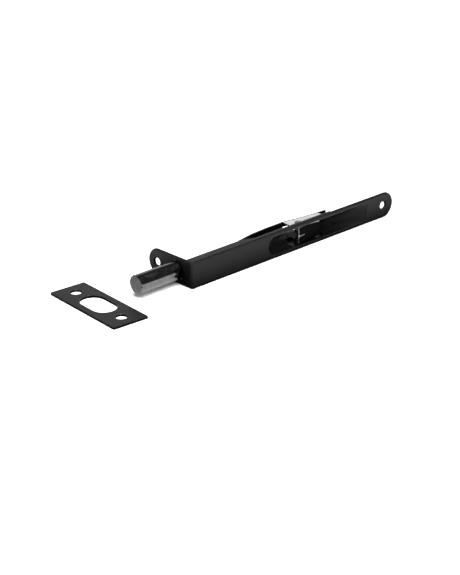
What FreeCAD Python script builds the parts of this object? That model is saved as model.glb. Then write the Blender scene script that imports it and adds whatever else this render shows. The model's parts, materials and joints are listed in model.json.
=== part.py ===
import FreeCAD, Part
import math
import os
import Sketcher

# Lever-action flush bolt with a radius end, lying on its long side, and its flat strike plate.
# +X runs from the end plate to the rounded end, +Y from the face into the door, +Z up across the width.
# Every piece is drawn from the corner where end plate, face and floor side meet, then settled so that
# the row's origin is on the end plate's outer face, in the plane of the face plate's back, halfway up.

SIZES = {
    # face plate and end plate, one pressed sheet
    "length": 200.0,
    "width": 19.0,
    "sheet": 1.6,
    "end_depth": 44.0,
    "edge_round": 1.2,
    "flange_depth": 7.0,
    "flange_run": 51.0,
    "rail_start": 60.0,
    "rail_depth": 2.8,
    "rail_end": 134.5,
    "face_hole_x": 189.3,
    "tab_hole_y": 35.3,
    "screw_radius": 2.6,
    "mouth_radius": 3.6,
    # long opening and finger scoop
    "slot_left": 70.5,
    "slot_width": 13.6,
    "bowl_right": 94.5,
    "cam_notch": 88.5,
    "cam_notch_width": 4.0,
    "scoop_left": 129.5,
    "scoop_right": 172.0,
    "scoop_depth": 7.7,
    "cup_skin": 1.5,
    # sliding bolt
    "rod_y": 15.5,
    "head_radius": 6.5,
    "head_out": 35.0,
    "head_back": 7.0,
    "head_bore": 12.0,
    "head_neck": 1.0,
    "neck_relief": 0.35,
    "shank_radius": 3.0,
    "shank_end": 73.0,
    "slide_gap": 0.06,
    "sleeve_start": 64.0,
    "sleeve_radius": 4.0,
    "fork_start": 73.5,
    "fork_root": 75.4,
    "fork_end": 98.5,
    "fork_height": 5.4,
    "fork_width": 7.8,
    "drive_x": 88.2,
    "drive_radius": 1.5,
    "throw": 34.0,
    # lever and cam
    "pivot_x": 105.2,
    "pivot_y": 5.5,
    "pivot_radius": 1.5,
    "pin_head_radius": 2.2,
    "pin_head_tall": 0.6,
    "swing": 120.0,
    "lever_left": 101.9,
    "lever_right": 124.0,
    "lever_top": 0.9,
    "lever_drop": 1.5,
    "lever_width": 12.6,
    "cap_set_in": 0.8,
    "cap_lowered": 0.9,
    "cap_narrower": 1.3,
    "lever_taper": 1.3,
    "lever_gap": 6.6,
    "cap_skin": 0.6,
    "web_skin": 0.8,
    "hub_radius": 2.9,
    "bead_radius": 1.4,
    "cam_skin": 3.0,
    "cam_wall": 1.7,
    "tie_radius": 0.9,
    # fixed inner pieces
    "cheek_skin": 1.2,
    "cheek_left": 98.0,
    "cheek_right": 129.0,
    "strap_skin": 1.2,
    "strap_width": 15.7,
    "strap_slot": 8.6,
    "strap_slot_start": 57.5,
    "strap_slot_end": 133.9,
    "strap_foot": 36.0,
    "strap_leg": 44.0,
    "strap_low_x": 52.0,
    "strap_low_y": 10.5,
    "strap_rise_x": 66.0,
    "strap_rise_y": 13.1,
    "strap_crown_x": 82.5,
    "strap_crown_y": 14.3,
    "strap_crest_x": 99.0,
    "strap_crest_y": 14.5,
    "strap_fall_x": 106.5,
    "strap_fall_y": 13.1,
    "strap_late_x": 119.0,
    "strap_late_y": 11.2,
    "strap_end_x": 137.0,
    "strap_end_y": 9.9,
    "guide_start": 53.0,
    "guide_end": 56.5,
    "guide_radius": 4.1,
    "ferrule_radius": 7.8,
    "ferrule_length": 2.4,
    "spring_skin": 0.4,
    "spring_width": 5.0,
    # strike plate
    "strike_width": 27.0,
    "strike_length": 72.0,
    "strike_skin": 1.6,
    "strike_x": -60.35,
    "strike_y": 23.05,
    "strike_turn": -4.0,
    "strike_slot_width": 17.2,
    "strike_slot_length": 30.0,
    "strike_spacing": 50.8,
    "strike_screw": 3.8,
    "strike_mouth": 4.3,
}

doc = FreeCAD.newDocument("flush_bolt")
sheet = doc.addObject("Spreadsheet::Sheet", "sizes")
for row, (name, number) in enumerate(SIZES.items(), start=1):
    sheet.set("A%d" % row, name)
    sheet.set("B%d" % row, str(number))
    sheet.setAlias("B%d" % row, name)
doc.recompute()


class Size:
    """A length with its text for the document's expressions and its present number."""

    def __init__(self, text, number):
        self.text = text
        self.number = number

    def joined(self, sign, other, number):
        return Size("(%s %s %s)" % (self.text, sign, as_size(other).text), number)

    def __add__(self, other):
        return self.joined("+", other, self.number + as_size(other).number)

    def __sub__(self, other):
        return self.joined("-", other, self.number - as_size(other).number)

    def __mul__(self, other):
        return self.joined("*", other, self.number * as_size(other).number)

    def __truediv__(self, other):
        return self.joined("/", other, self.number / as_size(other).number)


def as_size(value):
    return value if isinstance(value, Size) else Size(repr(float(value)), float(value))


def size(name):
    return Size("sizes." + name, float(sheet.get(name)))


def number(name):
    return float(sheet.get(name))


length = size("length")
width = size("width")
sheet_skin = size("sheet")
middle = width / 2
rod_y = size("rod_y")
pivot_x = size("pivot_x")
pivot_y = size("pivot_y")
nodes = {}
bar_starts = {}


def new_body(label):
    body = doc.addObject("PartDesign::Body", label)
    body.Label = label
    nodes[label] = body
    return body


def new_sketch(body, name, plane, offset=None):
    sketch = body.newObject("Sketcher::SketchObject", name)
    origin_plane = [f for f in body.Origin.OriginFeatures if f.Role == plane][0]
    sketch.AttachmentSupport = [(origin_plane, "")]
    sketch.MapMode = "FlatFace"
    if offset is not None:
        sketch.setExpression("AttachmentOffset.Base.z", as_size(offset).text)
    return sketch


def pin_point(sketch, element, position, x, y):
    """Fixes one point of a sketch element at x, y from the sketch's origin, driven by the sheet."""
    for kind, axis, value in (("DistanceX", -2, as_size(x)), ("DistanceY", -1, as_size(y))):
        if abs(value.number) < 1e-9:
            sketch.addConstraint(Sketcher.Constraint("PointOnObject", element, position, axis))
            continue
        row = Sketcher.Constraint(kind, -1, 1, element, position, value.number)
        index = sketch.addConstraint(row)
        sketch.setExpression("Constraints[%d]" % index, value.text)


def polygon(body, name, plane, points, offset=None):
    sketch = new_sketch(body, name, plane, offset)
    corners = [FreeCAD.Vector(as_size(x).number, as_size(y).number, 0) for x, y in points]
    count = len(corners)
    for i in range(count):
        sketch.addGeometry(Part.LineSegment(corners[i], corners[(i + 1) % count]), False)
    for i in range(count):
        sketch.addConstraint(Sketcher.Constraint("Coincident", i, 2, (i + 1) % count, 1))
    for i, (x, y) in enumerate(points):
        pin_point(sketch, i, 1, x, y)
    return sketch


def rectangle(body, name, plane, low, high, offset=None):
    points = [low, (high[0], low[1]), high, (low[0], high[1])]
    return polygon(body, name, plane, points, offset)


def circle(body, name, plane, centre, radius, offset=None):
    sketch = new_sketch(body, name, plane, offset)
    x, y = as_size(centre[0]), as_size(centre[1])
    r = as_size(radius)
    at = FreeCAD.Vector(x.number, y.number, 0)
    sketch.addGeometry(Part.Circle(at, FreeCAD.Vector(0, 0, 1), r.number), False)
    pin_point(sketch, 0, 3, x, y)
    index = sketch.addConstraint(Sketcher.Constraint("Radius", 0, r.number))
    sketch.setExpression("Constraints[%d]" % index, r.text)
    return sketch


def extrude(kind, body, sketch, depth, back=False):
    feature = body.newObject("PartDesign::" + kind, sketch.Name + "_" + kind.lower())
    feature.Profile = sketch
    feature.Reversed = back
    feature.setExpression("Length", as_size(depth).text)
    sketch.Visibility = False
    doc.recompute()
    return feature


def pad(body, sketch, depth, back=False):
    return extrude("Pad", body, sketch, depth, back)


def pocket(body, sketch, depth, back=False):
    before = body.Shape.Volume
    feature = extrude("Pocket", body, sketch, depth, back)
    if body.Shape.Volume >= before - 1e-6:
        raise RuntimeError(sketch.Name + " cuts nothing")
    return feature


def dress(kind, body, name, radius, wanted):
    """Fillets or chamfers the edges of the body's last feature for which wanted(edge) is true."""
    base = body.Tip
    edges = ["Edge%d" % i for i, e in enumerate(base.Shape.Edges, start=1) if wanted(e)]
    if not edges:
        raise RuntimeError(name + " finds no edge")
    feature = body.newObject("PartDesign::" + kind, name)
    feature.Base = (base, edges)
    feature.setExpression("Radius" if kind == "Fillet" else "Size", as_size(radius).text)
    doc.recompute()
    return feature


def lies_in(edge, axis, value):
    """True if the whole edge lies in the plane where that coordinate has this value."""
    box = edge.BoundBox
    low = getattr(box, axis + "Min")
    high = getattr(box, axis + "Max")
    return abs(low - value) < 1e-4 and abs(high - value) < 1e-4


def is_hole(edge, radius):
    """True for a full circle of this radius."""
    spans = sorted([edge.BoundBox.XLength, edge.BoundBox.YLength, edge.BoundBox.ZLength])
    return abs(spans[1] - radius.number * 2) < 1e-3 and abs(spans[2] - radius.number * 2) < 1e-3


def along_z(edge, x, y):
    return lies_in(edge, "X", x) and lies_in(edge, "Y", y)


def cylinder(label, radius, span, start, axis):
    """A round bar of this length from its start point, along X or Z."""
    bar = doc.addObject("Part::Cylinder", label)
    bar.Label = label
    bar.setExpression("Radius", as_size(radius).text)
    bar.setExpression("Height", as_size(span).text)
    turn = FreeCAD.Rotation(FreeCAD.Vector(0, 1, 0), 90 if axis == "X" else 0)
    bar.Placement = FreeCAD.Placement(FreeCAD.Vector(0, 0, 0), turn)
    bar_starts[label] = [as_size(value) for value in start]
    for name, value in zip("xyz", bar_starts[label]):
        bar.setExpression("Placement.Base." + name, value.text)
    return bar


def joined(label, pieces):
    fused = doc.addObject("Part::MultiFuse", label)
    fused.Label = label
    fused.Shapes = pieces
    doc.recompute()
    return fused


def cut(label, base, tool):
    result = doc.addObject("Part::Cut", label)
    result.Label = label
    result.Base = base
    result.Tool = tool
    doc.recompute()
    return result


def ring(label, outer, inner, span, start, axis):
    """A washer, spacer or ferrule: a short tube."""
    wall = cylinder(label + "_wall", outer, span, start, axis)
    bore = cylinder(label + "_bore", inner, span, start, axis)
    return cut(label, wall, bore)


def cup_section(body, name, x, chord, depth):
    """Closed arc on its chord in the face's plane, across the bolt at this x."""
    half = as_size(chord) / 2
    depth = as_size(depth)
    radius = (half * half + depth * depth) / (depth * 2)
    sketch = new_sketch(body, name, "YZ_Plane", x)
    low = FreeCAD.Vector(0, middle.number - half.number, 0)
    high = FreeCAD.Vector(0, middle.number + half.number, 0)
    deep = FreeCAD.Vector(depth.number, middle.number, 0)
    sketch.addGeometry(Part.LineSegment(high, low), False)
    sketch.addGeometry(Part.ArcOfCircle(low, deep, high), False)
    arc = sketch.Geometry[1]
    first, last = (1, 2) if (arc.StartPoint - low).Length < 1e-6 else (2, 1)
    sketch.addConstraint(Sketcher.Constraint("Coincident", 0, 2, 1, first))
    sketch.addConstraint(Sketcher.Constraint("Coincident", 0, 1, 1, last))
    pin_point(sketch, 0, 1, 0, middle + half)
    pin_point(sketch, 0, 2, 0, middle - half)
    index = sketch.addConstraint(Sketcher.Constraint("Radius", 1, radius.number))
    sketch.setExpression("Constraints[%d]" % index, radius.text)
    return sketch


def cup_loft(label, chord, extra):
    """Long scoop that starts deep beside the lever and runs out into the face."""
    body = doc.addObject("PartDesign::Body", label)
    start = size("scoop_left")
    run = size("scoop_right") - start
    depth = size("scoop_depth")
    shares = [(0, 1), (0.15, 0.93), (0.35, 0.77), (0.6, 0.52), (0.8, 0.31), (0.93, 0.13), (1, 0.02)]
    sections = []
    for i, (along, deep) in enumerate(shares):
        name = "%s_section_%d" % (label, i)
        sections.append(cup_section(body, name, start + run * along, chord, depth * deep + extra))
    loft = body.newObject("PartDesign::AdditiveLoft", label + "_loft")
    loft.Profile = sections[0]
    loft.Sections = sections[1:]
    doc.recompute()
    return body


def box(label, low, high):
    block = doc.addObject("Part::Box", label)
    for side, name, a, b in zip(("Length", "Width", "Height"), "xyz", low, high):
        block.setExpression(side, (as_size(b) - a).text)
        block.setExpression("Placement.Base." + name, as_size(a).text)
    return block


def ball(label, radius, centre):
    solid = doc.addObject("Part::Sphere", label)
    solid.setExpression("Radius", as_size(radius).text)
    for name, value in zip("xyz", centre):
        solid.setExpression("Placement.Base." + name, as_size(value).text)
    return solid


def housing_sheet():
    """Face plate, end plate and side flanges before the recess is drawn into the face."""
    body = doc.addObject("PartDesign::Body", "housing_sheet")
    flat_end = length - width / 2
    tab_end = size("end_depth") - width / 2
    pad(body, rectangle(body, "face_flat", "XZ_Plane", (0, 0), (flat_end, width)), sheet_skin, True)
    pad(body, circle(body, "face_round", "XZ_Plane", (flat_end, middle), middle), sheet_skin, True)
    pad(body, rectangle(body, "end_flat", "YZ_Plane", (0, 0), (tab_end, width)), sheet_skin)
    pad(body, circle(body, "end_round", "YZ_Plane", (tab_end, middle), middle), sheet_skin)

    # the upper flange drops to a low rail past the mechanism, the lower one runs up to the strap
    rail_end = size("rail_end")
    flange_high = [
        (0, 0),
        (rail_end, 0),
        (rail_end, size("rail_depth")),
        (size("rail_start"), size("rail_depth")),
        (size("flange_run"), size("flange_depth")),
        (0, size("flange_depth")),
    ]
    strap_inner = [(x, y - size("strap_skin")) for x, y in strap_profile()[1:-1]]
    flange_low = [(0, 0), (rail_end, 0), (rail_end, size("strap_end_y") - size("strap_skin"))]
    flange_low += list(reversed(strap_inner))
    flange_low += [(size("flange_run"), size("flange_depth")), (0, size("flange_depth"))]
    pad(body, polygon(body, "flange_low", "XY_Plane", flange_low), sheet_skin)
    pad(body, polygon(body, "flange_high", "XY_Plane", flange_high, width - sheet_skin), sheet_skin)

    # pressed edges: the bend between face and end plate is the larger round
    outer = size("edge_round")
    dress("Fillet", body, "front_edges", outer, lambda e: lies_in(e, "Y", 0) and not lies_in(e, "X", 0))
    dress("Fillet", body, "end_bend", sheet_skin * 0.9, lambda e: along_z(e, 0, 0))

    # the lower flange is pierced where the pivot pin is headed over
    pin_hole = circle(body, "pin_head_hole", "XY_Plane", (pivot_x, pivot_y), size("pin_head_radius") + 0.05)
    pocket(body, pin_hole, sheet_skin, True)

    # countersunk screw holes and the hole the bolt slides through
    screw = size("screw_radius")
    face_hole = circle(body, "face_screw", "XZ_Plane", (size("face_hole_x"), middle), screw)
    pocket(body, face_hole, sheet_skin * 2)
    tab_hole = circle(body, "tab_screw", "YZ_Plane", (size("tab_hole_y"), middle), screw)
    pocket(body, tab_hole, sheet_skin * 2, True)
    bolt_hole = circle(body, "bolt_hole", "YZ_Plane", (rod_y, middle), size("head_radius") + 0.4)
    pocket(body, bolt_hole, sheet_skin * 2, True)
    sink = size("mouth_radius") - screw
    dress("Chamfer", body, "face_sink", sink, lambda e: lies_in(e, "Y", 0) and is_hole(e, screw))
    dress("Chamfer", body, "tab_sink", sink, lambda e: lies_in(e, "X", 0) and is_hole(e, screw))
    return body


def face_housing():
    """The sheet with its drawn recess: a round bowl, an open window for the lever, and the long scoop."""
    skin = size("cup_skin")
    inner = size("slot_width") / 2
    outer = inner + skin
    nose = size("slot_left") + inner
    bowl_right = size("bowl_right")
    run = bowl_right - nose
    scoop_left = size("scoop_left")
    chord = size("slot_width")
    walls = [
        housing_sheet(),
        ball("bowl_ball", outer, (nose, 0, middle)),
        cylinder("bowl_bar", outer, run, (nose, 0, middle), "X"),
        cup_loft("scoop_outer", chord + skin * 2, skin),
    ]
    sheet_and_cups = joined("sheet_and_cups", walls)
    window_low = middle - inner
    window_high = middle + inner
    notch = size("cam_notch_width") / 2
    hollows = [
        ball("bowl_ball_hollow", inner, (nose, 0, middle)),
        cylinder("bowl_bar_hollow", inner, run + 1, (nose, 0, middle), "X"),
        cup_loft("scoop_inner", chord, 0),
        box("lever_window", (bowl_right, -1, window_low), (scoop_left, 12, window_high)),
        box("bowl_past", (bowl_right, 1.6, 1.6), (scoop_left, 12, width - 1.6)),
        box("cam_window", (size("cam_notch"), -1, middle - notch), (bowl_right + 1, 12, middle + notch)),
        box("before_face", (-60, -30, -5), (length + 10, 0, width + 5)),
    ]
    nodes["face_housing"] = cut("face_housing", sheet_and_cups, joined("hollows", hollows))


def strap_profile():
    """Outer line of the back strap from its foot to its far end, as x and y."""
    names = ["low", "rise", "crown", "crest", "fall", "late", "end"]
    return [(size("strap_%s_x" % n), size("strap_%s_y" % n)) for n in names]


def back_strap():
    body = new_body("back_strap")
    skin = size("strap_skin")
    leg = size("strap_leg")
    foot = size("strap_foot")
    outer = strap_profile()
    inner = [(x, y - skin) for x, y in reversed(outer)]
    shoulder_y = size("flange_depth") + skin
    points = [(foot, sheet_skin), (leg, sheet_skin), (leg, shoulder_y - skin)]
    points += list(reversed(inner))
    points += list(reversed(outer))
    points += [(leg - skin, shoulder_y), (leg - skin, sheet_skin + skin), (foot, sheet_skin + skin)]
    low = middle - size("strap_width") / 2
    pad(body, polygon(body, "strap_side", "XY_Plane", points, low), size("strap_width"))
    half = size("strap_slot") / 2
    window_low = (size("strap_slot_start"), middle - half)
    window_high = (size("strap_slot_end"), middle + half)
    window = rectangle(body, "strap_window", "XZ_Plane", window_low, window_high)
    pocket(body, window, 30)
    start = number("strap_slot_start")
    end = number("strap_slot_end")

    def window_corner(edge):
        box_now = edge.BoundBox
        flat = box_now.XLength < 0.3 and box_now.ZLength < 1e-4 and box_now.YLength > 0.5
        at_end = abs(box_now.Center.x - start) < 0.3 or abs(box_now.Center.x - end) < 0.3
        inside = abs(abs(box_now.Center.z - middle.number) - half.number) < 1e-3
        return flat and at_end and inside

    dress("Fillet", body, "window_corners", 1.5, window_corner)


def cheeks():
    """Two bright side plates between rails and strap that carry the lever's pivot pin."""
    skin = size("cheek_skin")
    left = size("cheek_left")
    right = size("cheek_right")
    strap_skin = size("strap_skin")
    tail_slope = (size("strap_end_y") - size("strap_late_y")) / (size("strap_end_x") - size("strap_late_x"))
    right_y = size("strap_late_y") + tail_slope * (right - size("strap_late_x")) - strap_skin
    rise = (size("strap_crest_y") - size("strap_crown_y")) / (size("strap_crest_x") - size("strap_crown_x"))
    left_y = size("strap_crown_y") + rise * (left - size("strap_crown_x")) - strap_skin
    points = [
        (left - 1.5, sheet_skin),
        (right, sheet_skin),
        (right, right_y),
        (size("strap_late_x"), size("strap_late_y") - strap_skin),
        (size("strap_fall_x"), size("strap_fall_y") - strap_skin),
        (size("strap_crest_x"), size("strap_crest_y") - strap_skin),
        (left, left_y),
    ]
    for label, low in (("cheek_low", sheet_skin), ("cheek_high", width - sheet_skin - skin)):
        body = new_body(label)
        pad(body, polygon(body, label + "_side", "XY_Plane", points, low), skin)
        hole = circle(body, label + "_hole", "XY_Plane", (pivot_x, pivot_y), size("pivot_radius"), low)
        pocket(body, hole, skin, True)


def guide():
    """Eyelet on the strap that keeps the shank in line."""
    body = new_body("rod_guide")
    start = size("guide_start")
    end = size("guide_end")
    radius = size("guide_radius")
    slope = (size("strap_rise_y") - size("strap_low_y")) / (size("strap_rise_x") - size("strap_low_x"))
    start_y = size("strap_low_y") + slope * (start - size("strap_low_x"))
    end_y = size("strap_low_y") + slope * (end - size("strap_low_x"))
    side = [(start, start_y), (end, end_y), (end, rod_y), (start, rod_y)]
    pad(body, polygon(body, "guide_side", "XY_Plane", side, middle - radius), radius * 2)
    pad(body, circle(body, "guide_crown", "YZ_Plane", (rod_y, middle), radius, start), end - start)
    running = size("shank_radius") + size("slide_gap")
    bore = circle(body, "guide_bore", "YZ_Plane", (rod_y, middle), running, end)
    pocket(body, bore, 10)


def leaf_spring():
    """Bent strip on the face plate's back whose crest rubs on the shank."""
    body = new_body("leaf_spring")
    skin = size("spring_skin")
    riser = size("strap_slot_start") + 1.6
    crest = rod_y - size("shank_radius") - 0.05
    points = [
        (riser + 9, sheet_skin),
        (riser, sheet_skin),
        (riser, crest - 1.5),
        (riser + 1.2, crest),
        (riser + 2.6, crest),
        (riser + 3.6, crest - 1.0),
        (riser + 3.3, crest - 1.3),
        (riser + 2.4, crest - skin),
        (riser + 1.4, crest - skin),
        (riser + skin, crest - 1.7),
        (riser + skin, sheet_skin + skin),
        (riser + 9, sheet_skin + skin),
    ]
    low = middle - size("spring_width") / 2
    pad(body, polygon(body, "spring_side", "XY_Plane", points, low), size("spring_width"))


def taper(body, name, extra):
    """Narrows a lever piece towards its free end, on its upper side by this much more than the arm."""
    half = size("lever_width") / 2
    left = pivot_x
    right = size("lever_right") + 3
    for side, sign, more in (("low", -1, 0), ("high", 1, extra)):
        points = [
            (left, middle + half * sign),
            (right, middle + (half - size("lever_taper") - more) * sign),
            (right, middle + (half + 1) * sign),
            (left, middle + (half + 1) * sign),
        ]
        sketch = polygon(body, name + "_taper_" + side, "XZ_Plane", points, -1)
        pocket(body, sketch, 20)


def lever_line(depth):
    """Left and right ends of the lever's front line, moved in by this depth."""
    top = size("lever_top") + depth
    return (size("lever_left"), top), (size("lever_right"), top + size("lever_drop"))


def lever_arm():
    """Cast lever behind the cap: two thick ears on the pivot pin with a slot for the cam between them."""
    body = new_body("lever_arm")
    low = middle - size("lever_width") / 2
    front_left, front_right = lever_line(size("cap_skin"))
    right = size("lever_right")
    side = [
        front_left,
        front_right,
        (right, size("lever_top") + size("lever_drop") + 4.2),
        (pivot_x + 4.0, pivot_y + 2.4),
        (pivot_x, pivot_y + 3.2),
        (pivot_x - 2.6, pivot_y + 2.0),
        (size("lever_left"), pivot_y),
    ]
    pad(body, polygon(body, "arm_side", "XY_Plane", side, low), size("lever_width"))
    back_left, back_right = lever_line(size("cap_skin") + size("web_skin"))
    gap = size("lever_gap")
    hollow = [
        (back_left[0] - 1, back_left[1]),
        (back_right[0] - 1.5, back_right[1]),
        (back_right[0] - 1.5, 14),
        (back_left[0] - 1, 14),
    ]
    slot = polygon(body, "arm_slot", "XY_Plane", hollow, middle - gap / 2)
    pocket(body, slot, gap, True)
    bore = size("pivot_radius") + 0.05
    pocket(body, circle(body, "arm_bore", "XY_Plane", (pivot_x, pivot_y), bore), width, True)
    tie_x, tie_y = tie_centre()
    tie = circle(body, "arm_tie", "XY_Plane", (tie_x, tie_y), size("tie_radius"))
    pocket(body, tie, width, True)
    taper(body, "arm", 0)


def lever_cap():
    """Black thumb plate on the lever's front, rolled into a bead at its free end."""
    body = new_body("lever_cap")
    low = middle - size("lever_width") / 2
    wide = size("lever_width") - size("cap_lowered")
    front_left, front_right = lever_line(0)
    back_left, back_right = lever_line(size("cap_skin"))
    set_in = size("cap_set_in")
    cap_left = front_left[0] + set_in
    side = [(cap_left, front_left[1]), front_right, back_right, (cap_left, back_left[1])]
    pad(body, polygon(body, "cap_side", "XY_Plane", side, low), wide)
    bead = size("bead_radius")
    end_y = size("lever_top") + size("lever_drop")
    centre = (size("lever_right") + bead + 0.05, end_y + bead)
    pad(body, circle(body, "cap_bead", "XY_Plane", centre, bead, low), size("lever_width"))
    bridge_low = (size("lever_right") - 0.5, end_y)
    bridge_high = (size("lever_right") + bead, end_y + size("cap_skin") - 0.05)
    pad(body, rectangle(body, "cap_bridge", "XY_Plane", bridge_low, bridge_high, low), size("lever_width"))
    slit_low = (size("lever_left") - 1, middle - 1.3)
    slit_high = (size("lever_left") + 7, middle - 0.2)
    pocket(body, rectangle(body, "cap_slit", "XZ_Plane", slit_low, slit_high, -0.5), 2)
    taper(body, "cap", size("cap_narrower"))


def tie_centre():
    """Rivet that locks the cam to the lever's ears, on the far side of the pivot from the cam's eye."""
    return pivot_x + 3.8, pivot_y + 0.4


def drive_path(steps):
    """Drive pin's centre as seen from the turning lever, while the bolt slides in step with it."""
    swing = math.radians(number("swing"))
    start_x = number("drive_x") - number("pivot_x")
    height = number("rod_y") - number("pivot_y")
    path = []
    for i in range(steps + 1):
        turned = swing * i / steps
        x = start_x + number("throw") * i / steps
        path.append(
            FreeCAD.Vector(
                number("pivot_x") + x * math.cos(turned) - height * math.sin(turned),
                number("pivot_y") + x * math.sin(turned) + height * math.cos(turned),
                0,
            )
        )
    return path


def capsule(start, end, radius, low, tall):
    """A straight slot's solid: two round bars and the block between them."""
    up = FreeCAD.Vector(0, 0, 1)
    lift = FreeCAD.Vector(0, 0, low)
    solid = Part.makeCylinder(radius, tall, start + lift, up)
    along = end - start
    if along.Length < 1e-6:
        return solid
    side = up.cross(along).normalize() * radius
    corners = [start + side, end + side, end - side, start - side, start + side]
    block = Part.Face(Part.makePolygon([c + lift for c in corners])).extrude(up * tall)
    return solid.fuse([Part.makeCylinder(radius, tall, end + lift, up), block])


def cam_plate():
    """Crank arm from the pivot with an eye that the drive pin runs round as the lever turns."""
    skin = number("cam_skin")
    low = number("width") / 2 - skin / 2
    up = FreeCAD.Vector(0, 0, 1)
    path = drive_path(24)
    clear = number("drive_radius") + number("slide_gap") + 0.02
    hub = FreeCAD.Vector(number("pivot_x"), number("pivot_y"), 0)
    tie_x, tie_y = tie_centre()
    tie = FreeCAD.Vector(tie_x.number, tie_y.number, 0)
    tie_radius = number("tie_radius")

    # the loop's two ends nearly meet, so they are taken in turn as the eye's blunt tip
    loop = [path[-1]] + path[1:-1] + [path[0]]
    wire = Part.makePolygon(loop + loop[:1])
    eye = Part.Face(wire.makeOffset2D(clear))
    rim = Part.Face(wire.makeOffset2D(clear + number("cam_wall")))
    plate = rim.extrude(up * skin)
    plate.translate(FreeCAD.Vector(0, 0, low))
    eye = eye.extrude(up * (skin + 2))
    eye.translate(FreeCAD.Vector(0, 0, low - 1))
    arm = capsule(hub, path[12], number("hub_radius"), low, skin)
    boss = capsule(hub, tie, tie_radius + 0.9, low, skin)
    solid = plate.fuse([arm, boss]).cut(eye)
    lift = FreeCAD.Vector(0, 0, low - 1)
    bore = Part.makeCylinder(number("pivot_radius") + 0.05, skin + 2, hub + lift, up)
    rivet_hole = Part.makeCylinder(tie_radius, skin + 2, tie + lift, up)
    solid = solid.cut(bore).cut(rivet_hole)
    feature = doc.addObject("Part::Feature", "cam_plate")
    feature.Label = "cam_plate"
    feature.Shape = solid
    nodes["cam_plate"] = feature


def pins_and_spacers():
    pivot_radius = size("pivot_radius")
    cheek_inner = sheet_skin + size("cheek_skin")
    head_radius = size("pin_head_radius")
    tall = size("pin_head_tall")
    top = width - sheet_skin
    shaft = cylinder("pivot_shaft", pivot_radius, top - sheet_skin, (pivot_x, pivot_y, sheet_skin), "Z")
    low_head = cylinder("pivot_head_low", head_radius, tall, (pivot_x, pivot_y, sheet_skin - tall), "Z")
    high_head = cylinder("pivot_head_high", head_radius, tall, (pivot_x, pivot_y, top), "Z")
    nodes["pivot_pin"] = joined("pivot_pin", [shaft, low_head, high_head])

    lever_low = middle - size("lever_width") / 2
    lever_high = middle + size("lever_width") / 2
    gap = lever_low - cheek_inner
    inner = pivot_radius + 0.04
    washers = []
    for name, z in (("low", cheek_inner + gap * 0.1), ("high", lever_high + gap * 0.1)):
        washers.append(ring("washer_" + name, 2.8, inner, gap * 0.8, (pivot_x, pivot_y, z), "Z"))
    nodes["pivot_washers"] = joined("pivot_washers", washers)

    half_gap = size("lever_gap") / 2
    cam_low = middle - size("cam_skin") / 2
    cam_high = middle + size("cam_skin") / 2
    spacers = []
    for name, z, top in (("low", middle - half_gap, cam_low), ("high", cam_high, middle + half_gap)):
        spacers.append(ring("spacer_" + name, 2.5, inner + 0.01, top - z, (pivot_x, pivot_y, z), "Z"))
    nodes["cam_spacers"] = joined("cam_spacers", spacers)

    tie_x, tie_y = tie_centre()
    tie_start = (tie_x, tie_y, lever_low)
    nodes["cam_rivet"] = cylinder("cam_rivet", size("tie_radius"), size("lever_width"), tie_start, "Z")

    drive_span = size("fork_width") + 0.4
    drive_start = (size("drive_x"), rod_y, middle - drive_span / 2)
    nodes["drive_pin"] = cylinder("drive_pin", size("drive_radius"), drive_span, drive_start, "Z")

    bore = size("head_radius") + size("slide_gap")
    nodes["end_ferrule"] = ring(
        "end_ferrule", size("ferrule_radius"), bore, size("ferrule_length"), (sheet_skin, rod_y, middle), "X"
    )


def bolt_head():
    body = new_body("bolt_head")
    tip = size("head_out") * -1
    neck = size("head_neck") * -1
    radius = size("head_radius")
    pad(body, circle(body, "head_round", "YZ_Plane", (rod_y, middle), radius, tip), neck - tip)
    inside = circle(body, "head_inside", "YZ_Plane", (rod_y, middle), radius - size("neck_relief"), neck)
    pad(body, inside, size("head_back") - neck)
    back = circle(body, "head_socket", "YZ_Plane", (rod_y, middle), size("shank_radius"), size("head_back"))
    pocket(body, back, size("head_bore"))
    cross = circle(body, "head_cross", "XY_Plane", (size("head_back") - 3.2, rod_y), 1.0)
    pocket(body, cross, width, True)
    dress("Chamfer", body, "tip_edge", 0.5, lambda e: lies_in(e, "X", tip.number))


def shank():
    body = new_body("rod_shank")
    start = size("head_back") - size("head_bore")
    span = size("shank_end") - start
    pad(body, circle(body, "shank_round", "YZ_Plane", (rod_y, middle), size("shank_radius"), start), span)
    for name, x in (("head", size("head_back") - 3.2), ("fork", size("sleeve_start") + 4)):
        pocket(body, circle(body, "shank_" + name, "XY_Plane", (x, rod_y), 1.0), width, True)
    half_span = size("head_radius") - 0.3
    head_at = (size("head_back") - 3.2, rod_y, middle - half_span)
    nodes["head_pin"] = cylinder("head_pin", 1.0, half_span * 2, head_at, "Z")
    fork_at = (size("sleeve_start") + 4, rod_y, middle - size("sleeve_radius") + 0.1)
    nodes["fork_pin"] = cylinder("fork_pin", 1.0, size("sleeve_radius") * 2 - 0.2, fork_at, "Z")


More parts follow.
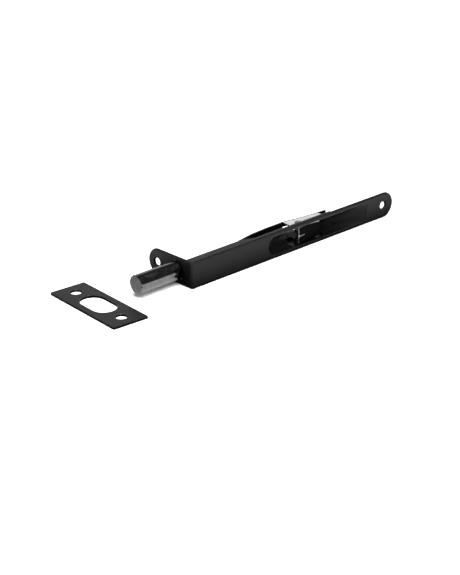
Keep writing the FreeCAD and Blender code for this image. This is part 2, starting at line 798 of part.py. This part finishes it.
def fork():
    """Sleeve on the shank's end that opens into two tines round the cam."""
    body = new_body("fork")
    start = size("sleeve_start")
    sleeve = circle(body, "sleeve_round", "YZ_Plane", (rod_y, middle), size("sleeve_radius"), start)
    pad(body, sleeve, size("fork_start") - start + 1)
    half = size("fork_height") / 2
    low = middle - size("fork_width") / 2
    side_low = (size("fork_start"), rod_y - half)
    side_high = (size("fork_end"), rod_y + half)
    side = rectangle(body, "fork_side", "XY_Plane", side_low, side_high, low)
    pad(body, side, size("fork_width"))
    fork_end = number("fork_end")
    dress("Fillet", body, "fork_nose", 2.0, lambda e: lies_in(e, "X", fork_end) and e.BoundBox.ZLength > 1)
    gap = size("cam_skin") / 2 + 0.2
    mouth_low = (size("fork_root"), middle - gap)
    mouth_high = (size("fork_end") + 1, middle + gap)
    mouth = rectangle(body, "fork_mouth", "XZ_Plane", mouth_low, mouth_high, (rod_y - 5) * -1)
    pocket(body, mouth, 12)
    socket = circle(body, "fork_socket", "YZ_Plane", (rod_y, middle), size("shank_radius"), start)
    pocket(body, socket, size("shank_end") - start, True)
    drive = circle(body, "fork_drive", "XY_Plane", (size("drive_x"), rod_y), size("drive_radius"))
    pocket(body, drive, width, True)
    cross = circle(body, "fork_cross", "XY_Plane", (start + 4, rod_y), 1.0)
    pocket(body, cross, width, True)


def strike_plate():
    body = new_body("strike_plate")
    half_x = size("strike_width") / 2
    half_y = size("strike_length") / 2
    skin = size("strike_skin")
    corner = (half_x * -1, half_y * -1)
    pad(body, rectangle(body, "strike_outline", "XY_Plane", corner, (half_x, half_y)), skin)
    dress("Fillet", body, "strike_corners", 1.2, lambda e: e.BoundBox.ZLength > 1)
    dress("Fillet", body, "strike_edges", 0.5, lambda e: lies_in(e, "Z", skin.number))
    slot_half = size("strike_slot_width") / 2
    reach = size("strike_slot_length") / 2 - slot_half
    run = rectangle(body, "catch_run", "XY_Plane", (slot_half * -1, reach * -1), (slot_half, reach))
    pocket(body, run, skin * 2, True)
    screw = size("strike_screw")
    half_spacing = size("strike_spacing") / 2
    for name, sign in (("near", -1), ("far", 1)):
        pocket(body, circle(body, "catch_" + name, "XY_Plane", (0, reach * sign), slot_half), skin * 2, True)
        place = (0, half_spacing * sign)
        hole = circle(body, "strike_screw_" + name, "XY_Plane", place, screw)
        pocket(body, hole, skin * 2, True)
    sink = size("strike_mouth") - screw
    top = skin.number
    dress("Chamfer", body, "strike_sinks", sink, lambda e: lies_in(e, "Z", top) and is_hole(e, screw))
    turn = FreeCAD.Rotation(FreeCAD.Vector(0, 0, 1), number("strike_turn"))
    at = FreeCAD.Vector(number("strike_x"), number("strike_y"), 0)
    body.Placement = FreeCAD.Placement(at, turn)


def settle(label, item):
    """Moves a finished piece from the drawing corner to the row's origin."""
    back = (as_size(0), sheet_skin, middle)
    if label in bar_starts:
        for name, value, less in zip("xyz", bar_starts[label], back):
            item.setExpression("Placement.Base." + name, (value - less).text)
        return
    move = FreeCAD.Vector(0, sheet_skin.number * -1, middle.number * -1)
    item.Placement = FreeCAD.Placement(move, FreeCAD.Rotation()).multiply(item.Placement)


face_housing()
back_strap()
cheeks()
guide()
leaf_spring()
lever_arm()
lever_cap()
cam_plate()
pins_and_spacers()
bolt_head()
shank()
fork()
strike_plate()
for label, item in nodes.items():
    settle(label, item)
doc.recompute()

for item in doc.Objects:
    states = list(item.State)
    if "Invalid" in states or "Error" in states:
        raise RuntimeError("%s is %s" % (item.Name, states))
os.makedirs("parts", exist_ok=True)
for label, item in nodes.items():
    shape = item.Shape
    if shape.isNull() or not shape.isValid():
        raise RuntimeError(label + " has no valid shape")
    shape.exportStep(os.path.join("parts", label + ".step"))
    print(label, len(shape.Solids), "solid", round(shape.Volume, 1), "mm3")
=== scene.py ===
import json
import math

import bpy
from mathutils import Matrix, Vector


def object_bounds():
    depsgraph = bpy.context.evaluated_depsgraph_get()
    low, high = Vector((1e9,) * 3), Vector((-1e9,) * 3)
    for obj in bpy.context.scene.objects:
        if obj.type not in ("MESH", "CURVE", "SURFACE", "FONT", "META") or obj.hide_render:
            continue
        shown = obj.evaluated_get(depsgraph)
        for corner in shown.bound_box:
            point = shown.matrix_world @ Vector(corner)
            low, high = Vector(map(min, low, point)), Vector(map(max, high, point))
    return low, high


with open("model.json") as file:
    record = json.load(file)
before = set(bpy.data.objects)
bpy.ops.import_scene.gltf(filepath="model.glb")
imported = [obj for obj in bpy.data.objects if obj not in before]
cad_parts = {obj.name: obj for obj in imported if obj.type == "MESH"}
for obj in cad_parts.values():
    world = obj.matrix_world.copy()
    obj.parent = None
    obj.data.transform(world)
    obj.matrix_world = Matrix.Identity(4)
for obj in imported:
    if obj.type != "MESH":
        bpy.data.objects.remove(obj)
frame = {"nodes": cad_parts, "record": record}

scene = bpy.context.scene
NODES = frame["nodes"]
start_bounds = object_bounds()
low, high = start_bounds
middle = (low + high) / 2

# Material lengths, in metres.
EDGE_RADIUS = 0.0005
# Reach of the painted shade in recesses, for the black finish and for the zinc.
BLACK_PAINTED_SHADE_REACH = 0.022
ZINC_PAINTED_SHADE_REACH = 0.012
PEEL_HEIGHT = 0.00004
LINE_HEIGHT = 0.00003
# Shares and stretches, without a unit.
# Darkness of the painted shade in recesses, for the black finish and for the zinc.
PAINTED_SHADE_TONE = 0.25
ZINC_PAINTED_SHADE_TONE = 0.06
MARK_AMOUNT = 0.35
ALONG_BAR = (0.05, 1.0, 1.0)
ALONG_PLATE = (0.08, 1.0, 1.0)
ALONG_SCUFF = (0.35, 1.0, 1.0)

# Studio: lengths in metres, power in watts, directions as unit vectors.
FLOOR_REACH = 6.0
FLOOR_GAP = 0.0002
WORLD_DARK, WORLD_BRIGHT = 0.10, 1.15
WORLD_FROM, WORLD_TO = -0.1, 0.3
WORLD_LEAN = -0.9
PANEL_OFFSET = Vector((-0.25, -0.6, 1.4))
PANEL_SIDE = 1.6
PANEL_POWER = 75.0

# Camera: the clip distances are in metres.
PHOTO_LONG_SIDE_PX = 575.0
SENSOR_MM = 36.0
CLIP_NEAR, CLIP_FAR = 0.05, 20.0


# ---------------------------------------------------------------- materials

class Graph:
    """Short way to build a node material."""

    def __init__(self, name):
        self.material = bpy.data.materials.new(name)
        self.material.use_nodes = True
        self.tree = self.material.node_tree
        self.tree.nodes.clear()
        self.shader = self.node("ShaderNodeBsdfPrincipled")
        output = self.node("ShaderNodeOutputMaterial")
        self.link(self.shader.outputs["BSDF"], output.inputs["Surface"])
        self.place = self.node("ShaderNodeTexCoord").outputs["Object"]

    def node(self, kind, **settings):
        made = self.tree.nodes.new(kind)
        for key, value in settings.items():
            setattr(made, key, value)
        return made

    def link(self, source, target):
        self.tree.links.new(source, target)

    def put(self, socket, value):
        if isinstance(value, bpy.types.NodeSocket):
            self.link(value, socket)
        else:
            socket.default_value = value

    def noise(self, scale, detail=4.0, rough=0.55, stretch=None):
        texture = self.node("ShaderNodeTexNoise")
        texture.inputs["Scale"].default_value = scale
        texture.inputs["Detail"].default_value = detail
        texture.inputs["Roughness"].default_value = rough
        place = self.place
        if stretch is not None:
            mapping = self.node("ShaderNodeMapping")
            mapping.inputs["Scale"].default_value = stretch
            self.link(place, mapping.inputs["Vector"])
            place = mapping.outputs["Vector"]
        self.link(place, texture.inputs["Vector"])
        return texture.outputs["Fac"]

    def spread(self, value, start, end, to_start=0.0, to_end=1.0):
        node = self.node("ShaderNodeMapRange")
        node.interpolation_type = "SMOOTHSTEP"
        self.link(value, node.inputs["Value"])
        node.inputs["From Min"].default_value = start
        node.inputs["From Max"].default_value = end
        node.inputs["To Min"].default_value = to_start
        node.inputs["To Max"].default_value = to_end
        return node.outputs["Result"]

    def sum(self, kind, a, b):
        node = self.node("ShaderNodeMath", operation=kind)
        self.put(node.inputs[0], a)
        self.put(node.inputs[1], b)
        return node.outputs["Value"]

    def mix(self, factor, a, b):
        node = self.node("ShaderNodeMix", data_type="RGBA")
        self.put(node.inputs["Factor"], factor)
        self.put(node.inputs["A"], a)
        self.put(node.inputs["B"], b)
        return node.outputs["Result"]

    def edges(self, radius):
        """1 on sharp edges, 0 on flats: how far a rounded normal leans from the true one."""
        bevel = self.node("ShaderNodeBevel", samples=4)
        bevel.inputs["Radius"].default_value = radius
        geometry = self.node("ShaderNodeNewGeometry")
        dot = self.node("ShaderNodeVectorMath", operation="DOT_PRODUCT")
        self.link(bevel.outputs["Normal"], dot.inputs[0])
        self.link(geometry.outputs["Normal"], dot.inputs[1])
        return self.spread(dot.outputs["Value"], 0.995, 0.86)

    def painted_recess_shade(self, distance):
        """Mask for painted shade, from ambient occlusion: 0 deep inside a recess, 1 in the
        open.
        """
        node = self.node("ShaderNodeAmbientOcclusion", samples=6)
        node.inputs["Distance"].default_value = distance
        return self.spread(node.outputs["AO"], 0.46, 0.98)

    def end_faces(self, amount):
        """This amount on faces square to the bar's length, 0 on its barrel."""
        normal = self.node("ShaderNodeTexCoord").outputs["Normal"]
        parts = self.node("ShaderNodeSeparateXYZ")
        self.link(normal, parts.inputs["Vector"])
        along = self.node("ShaderNodeMath", operation="ABSOLUTE")
        self.link(parts.outputs["X"], along.inputs[0])
        return self.spread(along.outputs["Value"], 0.8, 0.97, 0.0, amount)

    def bump(self, height, strength, distance):
        node = self.node("ShaderNodeBump")
        node.inputs["Strength"].default_value = strength
        node.inputs["Distance"].default_value = distance
        self.link(height, node.inputs["Height"])
        self.link(node.outputs["Normal"], self.shader.inputs["Normal"])


def grey(value, warm=0.0):
    return (value * (1 + warm), value, value * (1 - warm), 1.0)


def coated_steel(name, tone, rough, rub_and_highlight_amount, rub_and_highlight_tone, specular):
    """Black-finished pressed steel: fine orange peel, uneven sheen, edges painted paler as
    rubbed wear and as a painted highlight on rounded rims, and painted shade deep in
    recesses.
    """
    g = Graph(name)
    cloud = g.noise(90.0, 5.0)
    grain = g.noise(2600.0, 3.0)
    scuff = g.noise(420.0, 6.0, 0.7, ALONG_SCUFF)
    patches = g.spread(g.noise(600.0, 5.0), 0.25, 0.6)
    # Paler edges: partly rubbed paint, partly a painted highlight standing in for light
    # caught by rounded rims.
    edge = g.sum("MULTIPLY", g.edges(EDGE_RADIUS), patches)
    edge = g.sum("MULTIPLY", edge, rub_and_highlight_amount)
    marks = g.spread(scuff, 0.60, 0.78, 0.0, MARK_AMOUNT)
    base = g.mix(g.spread(cloud, 0.3, 0.7), grey(tone * 0.9), grey(tone * 1.12))
    base = g.mix(marks, base, grey(tone * 1.5))
    base = g.mix(edge, base, grey(rub_and_highlight_tone))
    # Painted shade: the colour darkens deep in recesses, where shade falls.
    painted_recess_shade = g.painted_recess_shade(BLACK_PAINTED_SHADE_REACH)
    base = g.mix(painted_recess_shade, grey(tone * PAINTED_SHADE_TONE), base)
    g.put(g.shader.inputs["Base Color"], base)
    sheen = g.spread(cloud, 0.25, 0.75, rough - 0.05, rough + 0.06)
    sheen = g.sum("ADD", sheen, g.spread(scuff, 0.55, 0.8, 0.0, -0.08))
    g.put(g.shader.inputs["Roughness"], sheen)
    # Painted shade in the reflections as well: the specular level drops deep in recesses.
    g.put(g.shader.inputs["Specular IOR Level"], g.sum("MULTIPLY", painted_recess_shade, specular))
    g.bump(g.sum("ADD", grain, g.sum("MULTIPLY", cloud, 2.0)), 0.25, PEEL_HEIGHT)
    return g.material


def bare_steel(name, tone, rough, warm=0.0, stretch=(1.0, 1.0, 1.0), relief=0.2,
               faced=0.0, with_painted_recess_shade=False):
    """Plated or drawn steel with fine drawing lines and a little tarnish, with painted shade
    in recesses when asked for.
    """
    g = Graph(name)
    lines = g.noise(3000.0, 3.0, 0.5, stretch)
    tarnish = g.noise(260.0, 5.0, 0.6)
    base = g.mix(g.spread(tarnish, 0.35, 0.7), grey(tone, warm), grey(tone * 0.78, warm))
    drawn = g.spread(lines, 0.45, 0.7, 0.0, MARK_AMOUNT)
    base = g.mix(drawn, base, grey(tone * 0.7, warm))
    # Painted shade: the plating darkens deep in recesses, where shade falls.
    if with_painted_recess_shade:
        base = g.mix(g.painted_recess_shade(ZINC_PAINTED_SHADE_REACH), grey(tone * ZINC_PAINTED_SHADE_TONE), base)
    g.put(g.shader.inputs["Base Color"], base)
    g.shader.inputs["Metallic"].default_value = 1.0
    sheen = g.spread(tarnish, 0.3, 0.7, rough, rough + 0.14)
    if faced:
        sheen = g.sum("ADD", sheen, g.end_faces(faced))
    g.put(g.shader.inputs["Roughness"], sheen)
    g.bump(lines, relief, LINE_HEIGHT)
    return g.material


def nylon(name, tone):
    """Moulded plastic with a fine speckle."""
    g = Graph(name)
    speck = g.noise(1500.0, 3.0)
    g.put(g.shader.inputs["Base Color"], g.mix(speck, grey(tone * 0.8), grey(tone * 1.3)))
    g.put(g.shader.inputs["Roughness"], g.spread(speck, 0.3, 0.7, 0.45, 0.6))
    g.bump(speck, 0.2, LINE_HEIGHT)
    return g.material


RECIPES = {
    "black_finish": (coated_steel, dict(
        tone=0.006, rough=0.45, rub_and_highlight_amount=0.8, rub_and_highlight_tone=0.15, specular=0.11)),
    "lever_black": (coated_steel, dict(
        tone=0.001, rough=0.42, rub_and_highlight_amount=0.5, rub_and_highlight_tone=0.01, specular=0.015)),
    "bolt_black": (bare_steel, dict(
        tone=0.115, rough=0.10, stretch=ALONG_BAR, relief=0.02, faced=0.35)),
    # dark_steel is partly painted shade: besides real dark parts, it turns the lower cheek,
    # a twin of the zinc upper cheek, near black to look shaded.
    "dark_steel": (bare_steel, dict(tone=0.015, rough=0.4)),
    # The zinc gets painted shade in its recesses.
    "zinc_plate": (bare_steel, dict(
        tone=0.84, rough=0.34, stretch=ALONG_PLATE, with_painted_recess_shade=True)),
    "spring_steel": (bare_steel, dict(tone=0.16, rough=0.38, warm=-0.03)),
    "pin_steel": (bare_steel, dict(tone=0.16, rough=0.35)),
    "ferrule_nylon": (nylon, dict(tone=0.03)),
}
MATERIALS = {name: make(name, **settings) for name, (make, settings) in RECIPES.items()}

slot_of = {row["node"]: row["material_slot"] for row in frame["record"]["subparts"]}
for name, piece in NODES.items():
    piece.data.materials.clear()
    piece.data.materials.append(MATERIALS[slot_of[name]])


# ---------------------------------------------------------------- floor, light, camera

def studio_floor():
    mesh = bpy.data.meshes.new("studio_floor")
    z = low.z - FLOOR_GAP
    turns = ((-1, -1), (1, -1), (1, 1), (-1, 1))
    outline = [(x * FLOOR_REACH, y * FLOOR_REACH, z) for x, y in turns]
    mesh.from_pydata(outline, [], [(0, 1, 2, 3)])
    plane = bpy.data.objects.new("studio_floor", mesh)
    scene.collection.objects.link(plane)
    g = Graph("floor_paper")
    fibre = g.noise(60.0, 4.0)
    g.put(g.shader.inputs["Base Color"], g.mix(fibre, grey(0.93), grey(0.96)))
    g.shader.inputs["Roughness"].default_value = 0.9
    g.shader.inputs["Specular IOR Level"].default_value = 0.1
    mesh.materials.append(g.material)


def studio_world():
    """White light: bright from the far (+Y) side and from below, dark from above and
    from the camera's side."""
    world = bpy.data.worlds.new("studio")
    world.use_nodes = True
    tree = world.node_tree
    sight = tree.nodes.new("ShaderNodeTexCoord")
    split = tree.nodes.new("ShaderNodeSeparateXYZ")
    ramp = tree.nodes.new("ShaderNodeMapRange")
    ramp.interpolation_type = "SMOOTHSTEP"
    ramp.inputs["From Min"].default_value = WORLD_FROM
    ramp.inputs["From Max"].default_value = WORLD_TO
    ramp.inputs["To Min"].default_value = WORLD_DARK
    ramp.inputs["To Max"].default_value = WORLD_BRIGHT
    lean = tree.nodes.new("ShaderNodeMath")
    lean.operation = "MULTIPLY_ADD"
    lean.inputs[1].default_value = WORLD_LEAN
    background = tree.nodes["Background"]
    tree.links.new(sight.outputs["Generated"], split.inputs["Vector"])
    tree.links.new(split.outputs["Z"], lean.inputs[0])
    tree.links.new(split.outputs["Y"], lean.inputs[2])
    tree.links.new(lean.outputs["Value"], ramp.inputs["Value"])
    tree.links.new(ramp.outputs["Result"], background.inputs["Strength"])
    background.inputs["Color"].default_value = (1.0, 1.0, 1.0, 1.0)
    scene.world = world
    scene.view_settings.view_transform = "Standard"


def area_light(name, place, aim, side, power):
    data = bpy.data.lights.new(name, "AREA")
    data.shape = "RECTANGLE"
    data.size = data.size_y = side
    data.energy = power
    lamp = bpy.data.objects.new(name, data)
    scene.collection.objects.link(lamp)
    lamp.location = place
    lamp.rotation_mode = "QUATERNION"
    lamp.rotation_quaternion = (aim - place).to_track_quat("-Z", "Y")


def camera_from_fit(azimuth, elevation, roll, place, focal_px):
    """azimuth turns the view from +Y towards +X, elevation tips it down and
    roll turns the picture, all in degrees."""
    a, e, r = map(math.radians, (azimuth, elevation, roll))
    right = Vector((math.cos(a), -math.sin(a), 0.0))
    up = Vector((math.sin(a) * math.sin(e), math.cos(a) * math.sin(e), math.cos(e)))
    ahead = Vector((math.sin(a) * math.cos(e), math.cos(a) * math.cos(e), -math.sin(e)))
    turned_right = right * math.cos(r) + up * math.sin(r)
    turned_up = up * math.cos(r) - right * math.sin(r)
    data = bpy.data.cameras.new("camera")
    data.sensor_fit = "AUTO"
    data.sensor_width = SENSOR_MM
    data.lens = focal_px / PHOTO_LONG_SIDE_PX * SENSOR_MM
    data.clip_start, data.clip_end = CLIP_NEAR, CLIP_FAR
    camera = bpy.data.objects.new("camera", data)
    scene.collection.objects.link(camera)
    axes = Matrix((turned_right, turned_up, -ahead)).transposed()
    camera.matrix_world = Matrix.Translation(Vector(place)) @ axes.to_4x4()
    scene.camera = camera


studio_floor()
studio_world()
area_light("sky_panel", middle + PANEL_OFFSET, middle, PANEL_SIDE, PANEL_POWER)
camera_from_fit(43.212, 23.497, -0.607, (-0.598, -0.6744, 0.3831), 1493.3)
